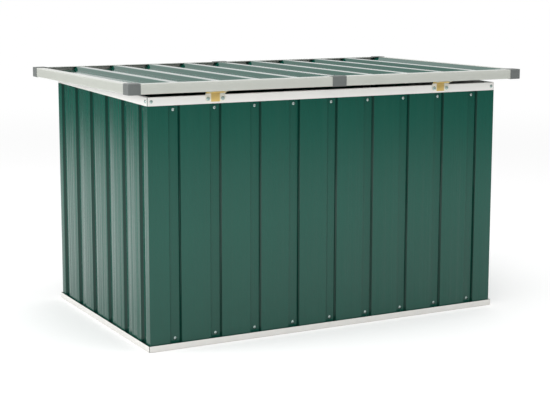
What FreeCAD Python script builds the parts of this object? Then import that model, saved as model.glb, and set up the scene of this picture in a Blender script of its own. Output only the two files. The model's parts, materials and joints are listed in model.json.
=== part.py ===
import FreeCAD, Part
import Sketcher
import math
import os
import re

# Garden storage box: corrugated steel walls held in folded rails, under a hinged lid on two gas struts.
# Millimetres, +Z up. The origin is on the ground, under the middle of the box.
# The rear is the hinge side, at -Y. Left is -X and right is +X, as seen from the rear.

document = FreeCAD.newDocument("garden_storage_box")
sheet = document.addObject("Spreadsheet::Sheet", "sizes")

# Driving sizes
driving = {
    # box outside its top rails, without the lid. Its height is the rear's, and the front stands higher.
    "body_length": 1448,
    "body_depth": 896,
    "box_height": 879,
    "front_rise": 20,
    # folded rails round the top and the foot of the walls
    "rail_sheet": 1.0,
    "top_face": 30,
    "top_inner": 58,
    "base_face": 22,
    "base_inner": 50,
    "base_ledge": 6,
    "mitre_gap": 0.4,
    # corrugated wall sheets, with wide crests outside and narrow valleys
    "panel_sheet": 0.5,
    "wall_depth": 12,
    "wall_pitch": 156,
    "valley_floor": 33,
    "valley_run": 6,
    "wall_lap": 24,
    # corner posts
    "post_leg": 28,
    "post_sheet": 1.5,
    "post_gap": 1,
    # floor
    "floor_sheet": 0.8,
    "floor_gap": 1,
    "joist_height": 20,
    "joist_width": 40,
    "joist_pitch": 290,
    # pan-head screws
    "head_radius": 6,
    "head_rim": 1.2,
    "head_height": 3.2,
    "shank_radius": 2.1,
    "shank_gap": 0.15,
    "shank_end": 3,
    "screw_below_rail": 15,
    "screw_above_base": 14,
    "corner_screw_inset": 15,
    # lid frame
    "hinge_gap": 13,
    "side_overhang": 86,
    "flange_setback": 5.5,
    "lid_face": 35,
    "lid_lip": 30,
    "lid_flange": 40,
    "cap_wall": 1.5,
    "cap_leg": 45,
    "cover_width": 57,
    "brace_width": 50,
    "brace_outset": 7,
    # lid sheets, with narrow ribs up
    "rib_pitch": 156,
    "rib_height": 13,
    "rib_top": 32,
    "rib_run": 8,
    "rib_edge": 10,
    "edge_run": 22,
    "rib_lap": 24,
    # rubber pads under the lid
    "pad_length": 40,
    "pad_height": 3,
    # butt hinges
    "hinge_offset": 470,
    "hinge_width": 76,
    "leaf_sheet": 1.5,
    "leaf_drop": 24,
    "leaf_reach": 30,
    "leaf_chamfer": 6,
    "leaf_screw_spread": 28,
    "leaf_screw_drop": 13,
    "leaf_screw_reach": 18,
    "knuckle_radius": 4.5,
    "knuckle_gap": 0.4,
    "knuckle_clear": 0.2,
    "pin_radius": 2.5,
    "pin_gap": 0.05,
    # gas struts
    "strut_setback": 20,
    "strut_stop": 60,
    "tube_radius": 10,
    "tube_bore": 8.4,
    "tube_length": 455,
    "tube_plug": 22,
    "gland_length": 15,
    "rod_radius": 4,
    "rod_gap": 0.3,
    "rod_length": 340,
    "collar_radius": 7,
    "collar_length": 18,
    "piston_length": 12,
    "piston_gap": 0.4,
    "eye_radius": 9,
    "eye_width": 10,
    "eye_gap": 1,
    "neck_start": 6,
    "neck_clear": 2,
    # strut brackets
    "stud_radius": 4,
    "stud_gap": 0.05,
    "stud_head": 6,
    "shoulder_radius": 7,
    "bracket_sheet": 2.5,
    "bracket_width": 24,
    "bracket_height": 60,
    "bracket_foot": 26,
    "bracket_gap": 0.5,
    "pivot_drop": 17,
    "ear_margin": 10,
}
for row, (name, size) in enumerate(driving.items(), start=1):
    sheet.set(f"A{row}", name)
    sheet.set(f"B{row}", str(size))
    sheet.setAlias(f"B{row}", name)
document.recompute()

# Sizes that follow from the driving ones
derived = {
    "rail_width": "wall_depth + 2 * rail_sheet",
    "rise_rate": "front_rise / body_depth",
    "crest_out": "rail_sheet",
    "crest_in": "rail_sheet + panel_sheet",
    "valley_out": "rail_sheet + wall_depth - panel_sheet",
    "valley_in": "rail_sheet + wall_depth",
    "wall_fold": "panel_sheet * tan(atan((wall_depth - panel_sheet) / valley_run) / 2)",
    "hole_radius": "shank_radius + shank_gap",
    "top_screw_height": "box_height - top_face - screw_below_rail",
    "base_screw_height": "base_face + screw_above_base",
    "corner_screw_height": "box_height - top_face / 2",
    "post_inset": "rail_sheet + panel_sheet",
    "rear_overhang": "cap_wall + lid_flange + flange_setback",
    "lid_length": "body_length + 2 * side_overhang",
    "lid_depth": "body_depth + 2 * rear_overhang",
    "lid_bottom": "box_height + hinge_gap",
    "lid_rail_bottom": "lid_bottom + cap_wall",
    "lid_rail_top": "lid_rail_bottom + lid_face",
    "lid_rail_length": "lid_length - 2 * cap_wall",
    "lid_rail_depth": "lid_depth - 2 * cap_wall",
    "lid_inner_depth": "lid_rail_depth - 2 * rail_sheet",
    "rib_level": "lid_rail_top - rail_sheet",
    "flat_level": "rib_level - rib_height",
    "rib_fold": "panel_sheet * tan(atan(rib_height / rib_run) / 2)",
    "edge_fold": "panel_sheet * tan(atan(rib_height / edge_run) / 2)",
    "brace_bottom": "box_height + front_rise + pad_height",
    "brace_top": "flat_level - panel_sheet",
    "side_brace_offset": "body_length / 2 + brace_outset - brace_width / 2",
    "knuckle_half": "hinge_width / 6",
    "axis_out": "knuckle_radius + knuckle_clear",
    "axis_height": "lid_rail_bottom - knuckle_radius - knuckle_clear",
    "bore_radius": "pin_radius + pin_gap",
    "strut_offset": "body_length / 2 - rail_width - strut_setback",
    "hinge_y": "-(body_depth / 2 + axis_out)",
    "lid_pivot_height": "brace_bottom - pivot_drop",
    "box_pivot_y": "post_sheet + post_inset + bracket_gap + bracket_width / 2 - body_depth / 2",
    "pivot_inset": "axis_height - lid_pivot_height + box_pivot_y - hinge_y",
    "strut_closed": "tube_length + strut_stop",
    "strut_arm": "(pivot_inset + sqrt(pivot_inset ^ 2 + 2 * strut_closed ^ 2)) / 2",
    "lid_pivot_y": "hinge_y + sqrt(strut_arm ^ 2 - (lid_pivot_height - axis_height) ^ 2)",
    "box_pivot_height": "axis_height - sqrt(strut_arm ^ 2 - (box_pivot_y - hinge_y) ^ 2)",
    "strut_angle": "atan2(lid_pivot_height - box_pivot_height; lid_pivot_y - box_pivot_y)",
    "eye_side": "eye_width / 2 + eye_gap",
    "neck_radius": "eye_width / 2",
    "tube_start": "shoulder_radius + neck_clear",
    "collar_start": "sqrt((bracket_width / 2) ^ 2 + ear_margin ^ 2) + neck_clear",
    "collar_end": "collar_start + collar_length",
    "post_face": "rail_width + strut_setback - post_inset - post_sheet",
}

sub_parts = []


# Writes a size's text with each name as its cell in the sheet
def bound(text):
    def cell(match):
        word = match[0]
        if word in derived:
            return "(" + bound(derived[word]) + ")"
        return "sizes." + word if word in driving else word

    return re.sub(r"[a-z_]+", cell, text)


# Gives the number that a size's text stands for
def value(text):
    number = sheet.evalExpression(bound(text))
    return float(getattr(number, "Value", number))


def point(x, y, z="0"):
    return FreeCAD.Vector(value(x), value(y), value(z))


def new_body(label):
    body = document.addObject("PartDesign::Body", label)
    body.Label = label
    sub_parts.append(body)
    return body


def new_sketch(body, role, start):
    sketch = body.newObject("Sketcher::SketchObject", "outline")
    planes = [plane for plane in body.Origin.OriginFeatures if plane.Role == role]
    sketch.AttachmentSupport = [(planes[0], "")]
    sketch.MapMode = "FlatFace"
    sketch.setExpression("AttachmentOffset.Base.z", bound(start))
    return sketch


# Holds a sketch's own point at two distances from the sketch's origin
def hold(sketch, geometry, vertex, place):
    for kind, text in zip(("DistanceX", "DistanceY"), place):
        index = sketch.addConstraint(Sketcher.Constraint(kind, -1, 1, geometry, vertex, value(text)))
        sketch.setExpression(f"Constraints[{index}]", bound(text))


# Closed outlines of straight edges
def outlines(body, role, loops, start="0"):
    sketch = new_sketch(body, role, start)
    for loop in loops:
        first = sketch.GeometryCount
        spots = [point(*corner) for corner in loop]
        edges = [Part.LineSegment(a, b) for a, b in zip(spots, spots[1:] + spots[:1])]
        sketch.addGeometry(edges, False)
        count = len(loop)
        joints = [
            Sketcher.Constraint("Coincident", first + i, 2, first + (i + 1) % count, 1) for i in range(count)
        ]
        sketch.addConstraint(joints)
        for i, corner in enumerate(loop):
            hold(sketch, first + i, 1, corner)
    return sketch


def circles(body, role, centres, radius, start="0"):
    sketch = new_sketch(body, role, start)
    for i, centre in enumerate(centres):
        sketch.addGeometry(Part.Circle(point(*centre), FreeCAD.Vector(0, 0, 1), value(radius)), False)
        index = sketch.addConstraint(Sketcher.Constraint("Radius", i, value(radius)))
        sketch.setExpression(f"Constraints[{index}]", bound(radius))
        hold(sketch, i, 3, centre)
    return sketch


def pad(body, sketch, length, side="One side", back=False, climb=None):
    feature = body.newObject("PartDesign::Pad", "pad")
    feature.Profile = sketch
    feature.SideType = side
    feature.Reversed = back
    feature.setExpression("Length", bound(length))
    if climb:
        feature.UseCustomVector = True
        feature.AlongSketchNormal = True
        feature.Direction = FreeCAD.Vector(1, 0, value(climb))


def revolve(body, sketch):
    feature = body.newObject("PartDesign::Revolution", "turned")
    feature.Profile = sketch
    feature.ReferenceAxis = (sketch, ["V_Axis"])
    feature.Angle = 360


def cut_through(body, sketch):
    feature = body.newObject("PartDesign::Pocket", "cut")
    feature.Profile = sketch
    feature.SideType = "Symmetric"
    feature.Type = "ThroughAll"


def cut_depth(body, sketch, length, back=False):
    feature = body.newObject("PartDesign::Pocket", "cut")
    feature.Profile = sketch
    feature.Reversed = back
    feature.setExpression("Length", bound(length))


def place(body, x, y, z="0", turn=0, axis=(0, 0, 1)):
    body.Placement = FreeCAD.Placement(FreeCAD.Vector(), FreeCAD.Rotation(FreeCAD.Vector(*axis), turn))
    for letter, text in zip("xyz", (x, y, z)):
        body.setExpression(f"Placement.Base.{letter}", bound(text))


# Each side's turn about Z, and the way that it faces. On a side, -Y faces out and X runs along it.
sides = {"rear": (0, 0, -1), "right": (90, 1, 0), "front": (180, 0, 1), "left": (270, -1, 0)}
corners = {
    "rear_left": (0, -1, -1),
    "rear_right": (90, 1, -1),
    "front_right": (180, 1, 1),
    "front_left": (270, -1, 1),
}
ends = {"left": -1, "right": 1}
long_sides = ("rear", "front")


def place_on_side(body, side, half_length="body_length / 2", half_depth="body_depth / 2"):
    turn, out_x, out_y = sides[side]
    place(body, f"{out_x} * ({half_length})", f"{out_y} * ({half_depth})", "0", turn)


def wall_span(side):
    return "body_length" if side in long_sides else "body_depth"


# The short sides climb to the front. Their own X points to the front on the right,
# and to the rear on the left.
def climb_rate(side):
    return {"right": "rise_rate", "left": "-rise_rate"}.get(side)


# How much higher the top of a side is at x than at the rear
def rise(side, x="0"):
    if side in long_sides:
        return "front_rise" if side == "front" else "0"
    return f"(front_rise / 2 + ({x}) * ({climb_rate(side)}))"


# Cuts both ends of a rail, or one end, to 45 degrees. The rail's outer corners lie at corner, outer.
def mitre(body, corner, outer, depth, ways=(1, -1)):
    over = "rail_sheet"
    tip = f"{corner} - mitre_gap / 2 + {over}"
    root = f"{corner} - mitre_gap / 2 - ({depth}) - {over}"
    near = f"{outer} - {over}"
    far = f"{outer} + ({depth}) + {over}"
    past = f"{corner} + 2 * {over}"
    wedge = [(tip, near), (past, near), (past, far), (root, far)]
    loops = [[(f"{way} * ({x})", y) for x, y in wedge] for way in ways]
    cut_through(body, outlines(body, "XY_Plane", loops))


# Multiples of a pitch that keep a fold inside a limit, on the middle or half a pitch off it
def steps_within(limit, pitch, offset):
    reach = int(value(limit) / value(pitch)) + 1
    steps = [k + offset for k in range(-reach - 1, reach + 1)]
    return [step for step in steps if abs(step) * value(pitch) <= value(limit)]


def valley_steps(side):
    room = "rail_sheet + panel_sheet + post_leg + post_gap + valley_floor / 2 + valley_run + wall_fold"
    offset = 0 if side in long_sides else 0.5
    return steps_within(f"{wall_span(side)} / 2 - ({room})", "wall_pitch", offset)


# Four corners of one fold in a sheet, from left to right
def fold(centre, width, run, level, folded, spread="0"):
    near = f"({width}) / 2 + ({spread})"
    far = f"({width}) / 2 + ({run}) + ({spread})"
    return [
        (f"{centre} - ({far})", level),
        (f"{centre} - ({near})", folded),
        (f"{centre} + {near}", folded),
        (f"{centre} + {far}", level),
    ]


def valley_fold(step, outside):
    centre = f"{step} * wall_pitch"
    if outside:
        return fold(centre, "valley_floor", "valley_run", "crest_out", "valley_out")
    return fold(centre, "valley_floor", "valley_run", "crest_in", "valley_in", "wall_fold")


def base_rail(side):
    body = new_body(f"base_rail_{side}")
    section = [
        ("-base_ledge", "0"),
        ("rail_width", "0"),
        ("rail_width", "base_inner"),
        ("rail_width - rail_sheet", "base_inner"),
        ("rail_width - rail_sheet", "rail_sheet"),
        ("rail_sheet - base_ledge", "rail_sheet"),
        ("rail_sheet - base_ledge", "base_face"),
        ("-base_ledge", "base_face"),
    ]
    length = f"{wall_span(side)} + 2 * base_ledge"
    pad(body, outlines(body, "YZ_Plane", [section]), length, "Symmetric")
    mitre(body, f"{wall_span(side)} / 2 + base_ledge", "-base_ledge", "rail_width + base_ledge")
    holes = [(f"{step} * wall_pitch", "base_screw_height") for step in valley_steps(side)]
    cut_through(body, circles(body, "XZ_Plane", holes, "hole_radius"))
    place_on_side(body, side)


def top_rail(side):
    body = new_body(f"top_rail_{side}")
    top = f"box_height + {rise(side)}"
    section = [
        ("0", f"{top} - top_face"),
        ("0", top),
        ("rail_width", top),
        ("rail_width", f"{top} - top_inner"),
        ("rail_width - rail_sheet", f"{top} - top_inner"),
        ("rail_width - rail_sheet", f"{top} - rail_sheet"),
        ("rail_sheet", f"{top} - rail_sheet"),
        ("rail_sheet", f"{top} - top_face"),
    ]
    profile = outlines(body, "YZ_Plane", [section])
    pad(body, profile, wall_span(side), "Symmetric", climb=climb_rate(side))
    mitre(body, f"{wall_span(side)} / 2", "0", "rail_width")
    holes = [top_screw_place(side, step) for step in valley_steps(side)]
    cut_through(body, circles(body, "XZ_Plane", holes, "hole_radius"))
    face_holes = corner_screw_places(side)
    if side == "rear":
        face_holes += [(x, "box_height - leaf_screw_drop") for x in leaf_screw_places()]
    cut_depth(body, circles(body, "XZ_Plane", face_holes, "hole_radius"), "2 * rail_sheet")
    place_on_side(body, side)


def top_screw_place(side, step):
    x = f"{step} * wall_pitch"
    return x, f"top_screw_height + {rise(side, x)}"


def corner_screw_places(side):
    places = [f"{way} * ({wall_span(side)} / 2 - corner_screw_inset)" for way in (-1, 1)]
    return [(x, f"corner_screw_height + {rise(side, x)}") for x in places]


def leaf_screw_places():
    return [f"{way} * hinge_offset + {turn} * leaf_screw_spread" for way in (-1, 1) for turn in (-1, 1)]


# Which half of its side a piece takes, along the side's own X: 0 is the whole side
def way_along(side, end):
    if end is None:
        return 0
    return -ends[end] if side == "front" else ends[end]


# A short wall is one sheet. A long wall is two, lapped in its middle valley.
def wall_sheet(side, end=None):
    body = new_body(f"wall_{side}_{end}" if end else f"wall_{side}")
    way = way_along(side, end)
    steps = [step for step in valley_steps(side) if way == 0 or step * way > 0]
    inset = "rail_sheet" if side in long_sides else "rail_sheet + panel_sheet"
    edge = f"({wall_span(side)} / 2 - ({inset}))"
    outer = [corner for step in steps for corner in valley_fold(step, True)]
    inner = [corner for step in steps for corner in valley_fold(step, False)]
    left_out, left_in = [(f"-{edge}", "crest_out")], [(f"-{edge}", "crest_in")]
    right_out, right_in = [(edge, "crest_out")], [(edge, "crest_in")]
    if way < 0:
        right_out = valley_fold(0, True)[:2] + [("wall_lap / 2", "valley_out")]
        right_in = valley_fold(0, False)[:2] + [("wall_lap / 2", "valley_in")]
    if way > 0:
        raised_out = ("valley_floor / 2", "valley_out - panel_sheet")
        raised_in = ("valley_floor / 2 + wall_fold", "valley_out")
        left_out = [("-wall_lap / 2", "valley_out - panel_sheet"), raised_out, valley_fold(0, True)[3]]
        left_in = [("-wall_lap / 2", "valley_out"), raised_in, valley_fold(0, False)[3]]
    section = left_out + outer + right_out + (left_in + inner + right_in)[::-1]
    highest = "front_rise" if side != "rear" else "0"
    height = f"box_height + {highest} - 2 * rail_sheet - mitre_gap"
    pad(body, outlines(body, "XY_Plane", [section], "rail_sheet"), height)
    if climb_rate(side):
        top = "box_height - rail_sheet - mitre_gap"
        left, right = "-body_depth / 2", "body_depth / 2"
        slope = [(x, f"{top} + {rise(side, x)}") for x in (left, right)]
        above = [(x, f"{top} + front_rise + top_face") for x in (right, left)]
        cut_through(body, outlines(body, "XZ_Plane", [slope + above]))
    drilled = steps + ([0] if way else [])
    holes = [(f"{step} * wall_pitch", "base_screw_height") for step in drilled]
    holes += [top_screw_place(side, step) for step in drilled]
    kept = [spot for spot, sign in zip(corner_screw_places(side), (-1, 1)) if way in (0, sign)]
    cut_through(body, circles(body, "XZ_Plane", holes + kept, "hole_radius"))
    place_on_side(body, side)


def corner_post(corner):
    body = new_body(f"corner_post_{corner}")
    turn, way_x, way_y = corners[corner]
    section = [
        ("0", "0"),
        ("post_leg", "0"),
        ("post_leg", "post_sheet"),
        ("post_sheet", "post_sheet"),
        ("post_sheet", "post_leg"),
        ("0", "post_leg"),
    ]
    height = "box_height - 2 * rail_sheet"
    if way_y > 0:
        height += " + front_rise - (post_inset + post_leg) * rise_rate"
    pad(body, outlines(body, "XY_Plane", [section], "rail_sheet"), height)
    # The leg along X and the leg along Y lie on different sides of the box.
    first, second = ("XZ_Plane", "YZ_Plane") if way_x == way_y else ("YZ_Plane", "XZ_Plane")
    near = "front_rise" if way_y > 0 else "0"
    along = f"{near} - {way_y} * corner_screw_inset * rise_rate"
    for role, climb in ((first, near), (second, along)):
        hole = [("corner_screw_inset - post_inset", f"corner_screw_height + {climb}")]
        cut_through(body, circles(body, role, hole, "hole_radius"))
    half_x = f"{way_x} * (body_length / 2 - post_inset)"
    half_y = f"{way_y} * (body_depth / 2 - post_inset)"
    place(body, half_x, half_y, "0", turn)


floor_half_depth = "(body_depth / 2 - rail_width - floor_gap)"


def floor_half(end):
    body = new_body(f"floor_{end}")
    plan = [
        ("0", f"-{floor_half_depth}"),
        ("body_length / 2 - rail_width - floor_gap", f"-{floor_half_depth}"),
        ("body_length / 2 - rail_width - floor_gap", floor_half_depth),
        ("0", floor_half_depth),
    ]
    pad(body, outlines(body, "XY_Plane", [plan], "joist_height"), "floor_sheet")
    place(body, "0", "0", "0", 0 if end == "right" else 180)


def floor_joists():
    body = new_body("floor_joists")
    body.AllowCompound = True
    limit = "body_length / 2 - rail_width - joist_width"
    sections = []
    for step in steps_within(limit, "joist_pitch", 0):
        left = f"{step} * joist_pitch - joist_width / 2"
        right = f"{step} * joist_pitch + joist_width / 2"
        sections.append([
            (left, "0"),
            (left, "joist_height"),
            (right, "joist_height"),
            (right, "0"),
            (f"{right} - rail_sheet", "0"),
            (f"{right} - rail_sheet", "joist_height - rail_sheet"),
            (f"{left} + rail_sheet", "joist_height - rail_sheet"),
            (f"{left} + rail_sheet", "0"),
        ])
    pad(body, outlines(body, "XZ_Plane", sections), "body_depth - 2 * rail_width", "Symmetric")
    place(body, "0", "0")


# One pan-head screw, with its head up and the face that it clamps at height 0
def screw(length):
    head, rim, top = value("head_radius"), value("head_rim"), value("head_height")
    shank, tip = value("shank_radius"), -value(length)
    crown = top - rim
    sphere = (head ** 2 + crown ** 2) / (2 * crown)
    half_way = top - sphere + math.sqrt(sphere ** 2 - head ** 2 / 4)
    flats = [(0, top), (0, tip), (shank, tip), (shank, 0), (head, 0), (head, rim)]
    spots = [FreeCAD.Vector(x, 0, z) for x, z in flats]
    edges = [Part.LineSegment(a, b).toShape() for a, b in zip(spots, spots[1:])]
    edges.append(Part.Arc(spots[-1], FreeCAD.Vector(head / 2, 0, half_way), spots[0]).toShape())
    return Part.Face(Part.Wire(edges)).revolve(FreeCAD.Vector(), FreeCAD.Vector(0, 0, 1), 360)


def screw_group(label, length, spots):
    solid = screw(length)
    solids = []
    for spot, out in spots:
        copy = solid.copy()
        copy.Placement = FreeCAD.Placement(spot, FreeCAD.Rotation(FreeCAD.Vector(0, 0, 1), out))
        solids.append(copy)
    feature = document.addObject("Part::Feature", label)
    feature.Label = label
    feature.Shape = Part.makeCompound(solids)
    feature.Placement = FreeCAD.Placement()
    sub_parts.append(feature)


# A place given on one side of the box, as a point and the way that the side faces
def on_side(side, x, y, z):
    turn, out_x, out_y = sides[side]
    out = FreeCAD.Vector(out_x, out_y, 0)
    half = value("body_depth / 2") if side in long_sides else value("body_length / 2")
    spot = FreeCAD.Rotation(FreeCAD.Vector(0, 0, 1), turn).multVec(point(x, y, z))
    return spot + out * half, out


def wall_screws(side):
    spots = []
    for step in valley_steps(side):
        seat = "valley_out - panel_sheet" if step == 0 else "valley_out"
        x, level = top_screw_place(side, step)
        spots.append(on_side(side, x, seat, level))
        spots.append(on_side(side, x, seat, "base_screw_height"))
    screw_group(f"wall_screws_{side}", "2 * panel_sheet + rail_sheet + shank_end", spots)


def corner_screws():
    spots = [on_side(side, x, "0", z) for side in sides for x, z in corner_screw_places(side)]
    screw_group("corner_screws", "rail_sheet + panel_sheet + post_sheet + shank_end", spots)


# Folded channel, open inwards. A long side has two lengths of it, joined in the middle.
def lid_rail(side, end=None):
    body = new_body(f"lid_rail_{side}_{end}" if end else f"lid_rail_{side}")
    way = way_along(side, end)
    section = [
        ("0", "lid_rail_bottom"),
        ("lid_flange", "lid_rail_bottom"),
        ("lid_flange", "lid_rail_bottom + rail_sheet"),
        ("rail_sheet", "lid_rail_bottom + rail_sheet"),
        ("rail_sheet", "lid_rail_top - rail_sheet"),
        ("lid_lip", "lid_rail_top - rail_sheet"),
        ("lid_lip", "lid_rail_top"),
        ("0", "lid_rail_top"),
    ]
    span = "lid_rail_length" if side in long_sides else "lid_rail_depth"
    sketch = outlines(body, "YZ_Plane", [section])
    if way:
        pad(body, sketch, f"{span} / 2", back=way < 0)
    else:
        pad(body, sketch, span, "Symmetric")
    mitre(body, f"{span} / 2", "0", "lid_flange + lid_lip", (way,) if way else (1, -1))
    if side == "rear":
        seat = "lid_flange + flange_setback - axis_out - leaf_screw_reach"
        holes = [(f"{way} * hinge_offset + {turn} * leaf_screw_spread", seat) for turn in (-1, 1)]
        drill = circles(body, "XY_Plane", holes, "hole_radius", "lid_rail_bottom")
        cut_depth(body, drill, "2 * rail_sheet", back=True)
    place_on_side(body, side, "lid_rail_length / 2", "lid_rail_depth / 2")


# The lid is two sheets, lapped on its middle rib with the right one on top.
# Their outer edges rise to the rail's lip and lie under it.
def lid_sheet(end):
    body = new_body(f"lid_sheet_{end}")
    lip = "lid_rail_length / 2 - lid_lip"
    limit = f"{lip} - edge_run - rib_edge - rib_top / 2 - rib_run"
    steps = [step for step in steps_within(limit, "rib_pitch", 0) if step > 0]
    edge = "lid_rail_length / 2 - rail_sheet"
    low, high = "flat_level - panel_sheet", "rib_level - panel_sheet"
    lapped = "rib_level" if end == "right" else high
    lapped_under = f"{lapped} - panel_sheet"
    top = [("-rib_lap / 2", lapped)]
    top += fold("0", "rib_top", "rib_run", "flat_level", lapped)[2:]
    under = [("-rib_lap / 2", lapped_under)]
    under += fold("0", "rib_top", "rib_run", low, lapped_under, "-rib_fold")[2:]
    for step in steps:
        centre = f"{step} * rib_pitch"
        top += fold(centre, "rib_top", "rib_run", "flat_level", "rib_level")
        under += fold(centre, "rib_top", "rib_run", low, high, "-rib_fold")
    top += [(f"{lip} - edge_run", "flat_level"), (lip, "rib_level"), (edge, "rib_level")]
    under += [(f"{lip} - edge_run + edge_fold", low), (f"{lip} + edge_fold", high), (edge, high)]
    pad(body, outlines(body, "XZ_Plane", [top + under[::-1]]), "lid_inner_depth", "Symmetric")
    place(body, "0", "0", "0", 0 if end == "right" else 180)


def lid_brace(label, x):
    body = new_body(label)
    half = "brace_width / 2"
    section = [
        (f"-{half}", "brace_bottom"),
        (half, "brace_bottom"),
        (half, "brace_top"),
        (f"{half} - rail_sheet", "brace_top"),
        (f"{half} - rail_sheet", "brace_bottom + rail_sheet"),
        (f"rail_sheet - {half}", "brace_bottom + rail_sheet"),
        (f"rail_sheet - {half}", "brace_top"),
        (f"-{half}", "brace_top"),
    ]
    pad(body, outlines(body, "XZ_Plane", [section]), "lid_inner_depth", "Symmetric")
    place(body, x, "0")


def corner_cap(corner):
    body = new_body(f"corner_cap_{corner}")
    turn, way_x, way_y = corners[corner]
    plan = [("0", "0"), ("cap_leg", "0"), ("cap_leg", "cap_leg"), ("0", "cap_leg")]
    pad(body, outlines(body, "XY_Plane", [plan], "lid_bottom"), "lid_face + 2 * cap_wall")
    past = "cap_leg + cap_wall"
    hollow = [("cap_wall", "cap_wall"), (past, "cap_wall"), (past, past), ("cap_wall", past)]
    cut_depth(body, outlines(body, "XY_Plane", [hollow], "lid_rail_bottom"), "lid_face", back=True)
    place(body, f"{way_x} * lid_length / 2", f"{way_y} * lid_depth / 2", "0", turn)


def joint_cover(side):
    body = new_body(f"joint_cover_{side}")
    section = [
        ("0", "lid_bottom"),
        ("lid_flange + cap_wall", "lid_bottom"),
        ("lid_flange + cap_wall", "lid_rail_bottom"),
        ("cap_wall", "lid_rail_bottom"),
        ("cap_wall", "lid_rail_top"),
        ("lid_lip + cap_wall", "lid_rail_top"),
        ("lid_lip + cap_wall", "lid_rail_top + cap_wall"),
        ("0", "lid_rail_top + cap_wall"),
    ]
    pad(body, outlines(body, "YZ_Plane", [section]), "cover_width", "Symmetric")
    place_on_side(body, side, "lid_length / 2", "lid_depth / 2")


def lid_pads():
    body = new_body("lid_pads")
    body.AllowCompound = True
    plans = []
    near, far = "body_depth / 2 - rail_width", "body_depth / 2"
    for way in (-1, 0, 1):
        centre = f"{way} * (body_length / 2 - rail_width - pad_length / 2)"
        low, high = f"{centre} - pad_length / 2", f"{centre} + pad_length / 2"
        plans.append([(low, near), (high, near), (high, far), (low, far)])
    pad(body, outlines(body, "XY_Plane", plans, "box_height + front_rise"), "pad_height")
    place(body, "0", "0")


# Lower leaf: a plate on the rear top rail, with the middle knuckle
def hinge_lower_leaf(end):
    body = new_body(f"hinge_lower_leaf_{end}")
    half = "hinge_width / 2"
    low = "box_height - leaf_drop"
    step = "axis_height - knuckle_radius - knuckle_gap"
    plate = [
        (f"leaf_chamfer - {half}", low),
        (f"{half} - leaf_chamfer", low),
        (half, f"{low} + leaf_chamfer"),
        (half, step),
        ("knuckle_half", step),
        ("knuckle_half", "axis_height"),
        ("-knuckle_half", "axis_height"),
        ("-knuckle_half", step),
        (f"-{half}", step),
        (f"-{half}", f"{low} + leaf_chamfer"),
    ]
    pad(body, outlines(body, "XZ_Plane", [plate]), "leaf_sheet")
    axis = [("-axis_out", "axis_height")]
    pad(body, circles(body, "YZ_Plane", axis, "knuckle_radius"), "2 * knuckle_half", "Symmetric")
    cut_through(body, circles(body, "YZ_Plane", axis, "bore_radius"))
    holes = [(f"{way} * leaf_screw_spread", "box_height - leaf_screw_drop") for way in (-1, 1)]
    cut_through(body, circles(body, "XZ_Plane", holes, "hole_radius"))
    place(body, f"{ends[end]} * hinge_offset", "-body_depth / 2")


# Upper leaf: a plate under the lid's rear rail, with the two outer knuckles
def hinge_upper_leaf(end):
    body = new_body(f"hinge_upper_leaf_{end}")
    half = "hinge_width / 2"
    axis_y = "-axis_out"
    notch_x = "knuckle_half + knuckle_gap"
    notch_y = "-axis_out - knuckle_radius - knuckle_gap"
    far = "-axis_out - leaf_reach"
    plate = [
        (half, axis_y),
        (half, f"{far} + leaf_chamfer"),
        (f"{half} - leaf_chamfer", far),
        (f"leaf_chamfer - {half}", far),
        (f"-{half}", f"{far} + leaf_chamfer"),
        (f"-{half}", axis_y),
        (f"-({notch_x})", axis_y),
        (f"-({notch_x})", notch_y),
        (notch_x, notch_y),
        (notch_x, axis_y),
    ]
    pad(body, outlines(body, "XY_Plane", [plate], "lid_rail_bottom - leaf_sheet"), "leaf_sheet")
    axis = [("-axis_out", "axis_height")]
    for start in (notch_x, f"-{half}"):
        knuckle = circles(body, "YZ_Plane", axis, "knuckle_radius", start)
        pad(body, knuckle, f"{half} - ({notch_x})")
    cut_through(body, circles(body, "YZ_Plane", axis, "bore_radius"))
    holes = [(f"{way} * leaf_screw_spread", "-axis_out - leaf_screw_reach") for way in (-1, 1)]
    cut_through(body, circles(body, "XY_Plane", holes, "hole_radius"))
    place(body, f"{ends[end]} * hinge_offset", "-body_depth / 2")


def hinge_pin(end):
    body = new_body(f"hinge_pin_{end}")
    axis = [("-axis_out", "axis_height")]
    pad(body, circles(body, "YZ_Plane", axis, "pin_radius"), "hinge_width", "Symmetric")
    place(body, f"{ends[end]} * hinge_offset", "-body_depth / 2")


def hinge_screws():
    level = "box_height - leaf_screw_drop"
    lower = [on_side("rear", x, "-leaf_sheet", level) for x in leaf_screw_places()]
    screw_group("hinge_screws_lower", "leaf_sheet + rail_sheet", lower)
    reach, seat = "-axis_out - leaf_screw_reach", "lid_rail_bottom - leaf_sheet"
    down = FreeCAD.Vector(0, 0, -1)
    upper = [(on_side("rear", x, reach, seat)[0], down) for x in leaf_screw_places()]
    screw_group("hinge_screws_upper", "leaf_sheet + rail_sheet + shank_end", upper)


# Turns a bracket that is drawn for the right-hand strut to either end
def place_at_strut(body, end, y, z):
    place(body, f"{ends[end]} * strut_offset", y, z, 0 if end == "right" else 180)


def stud(body, inner, outer):
    pad(body, circles(body, "YZ_Plane", [("0", "0")], "stud_radius", inner), f"{outer} - ({inner})")
    head = circles(body, "YZ_Plane", [("0", "0")], "stud_head", f"{inner} - bracket_sheet")
    pad(body, head, "bracket_sheet")


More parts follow.
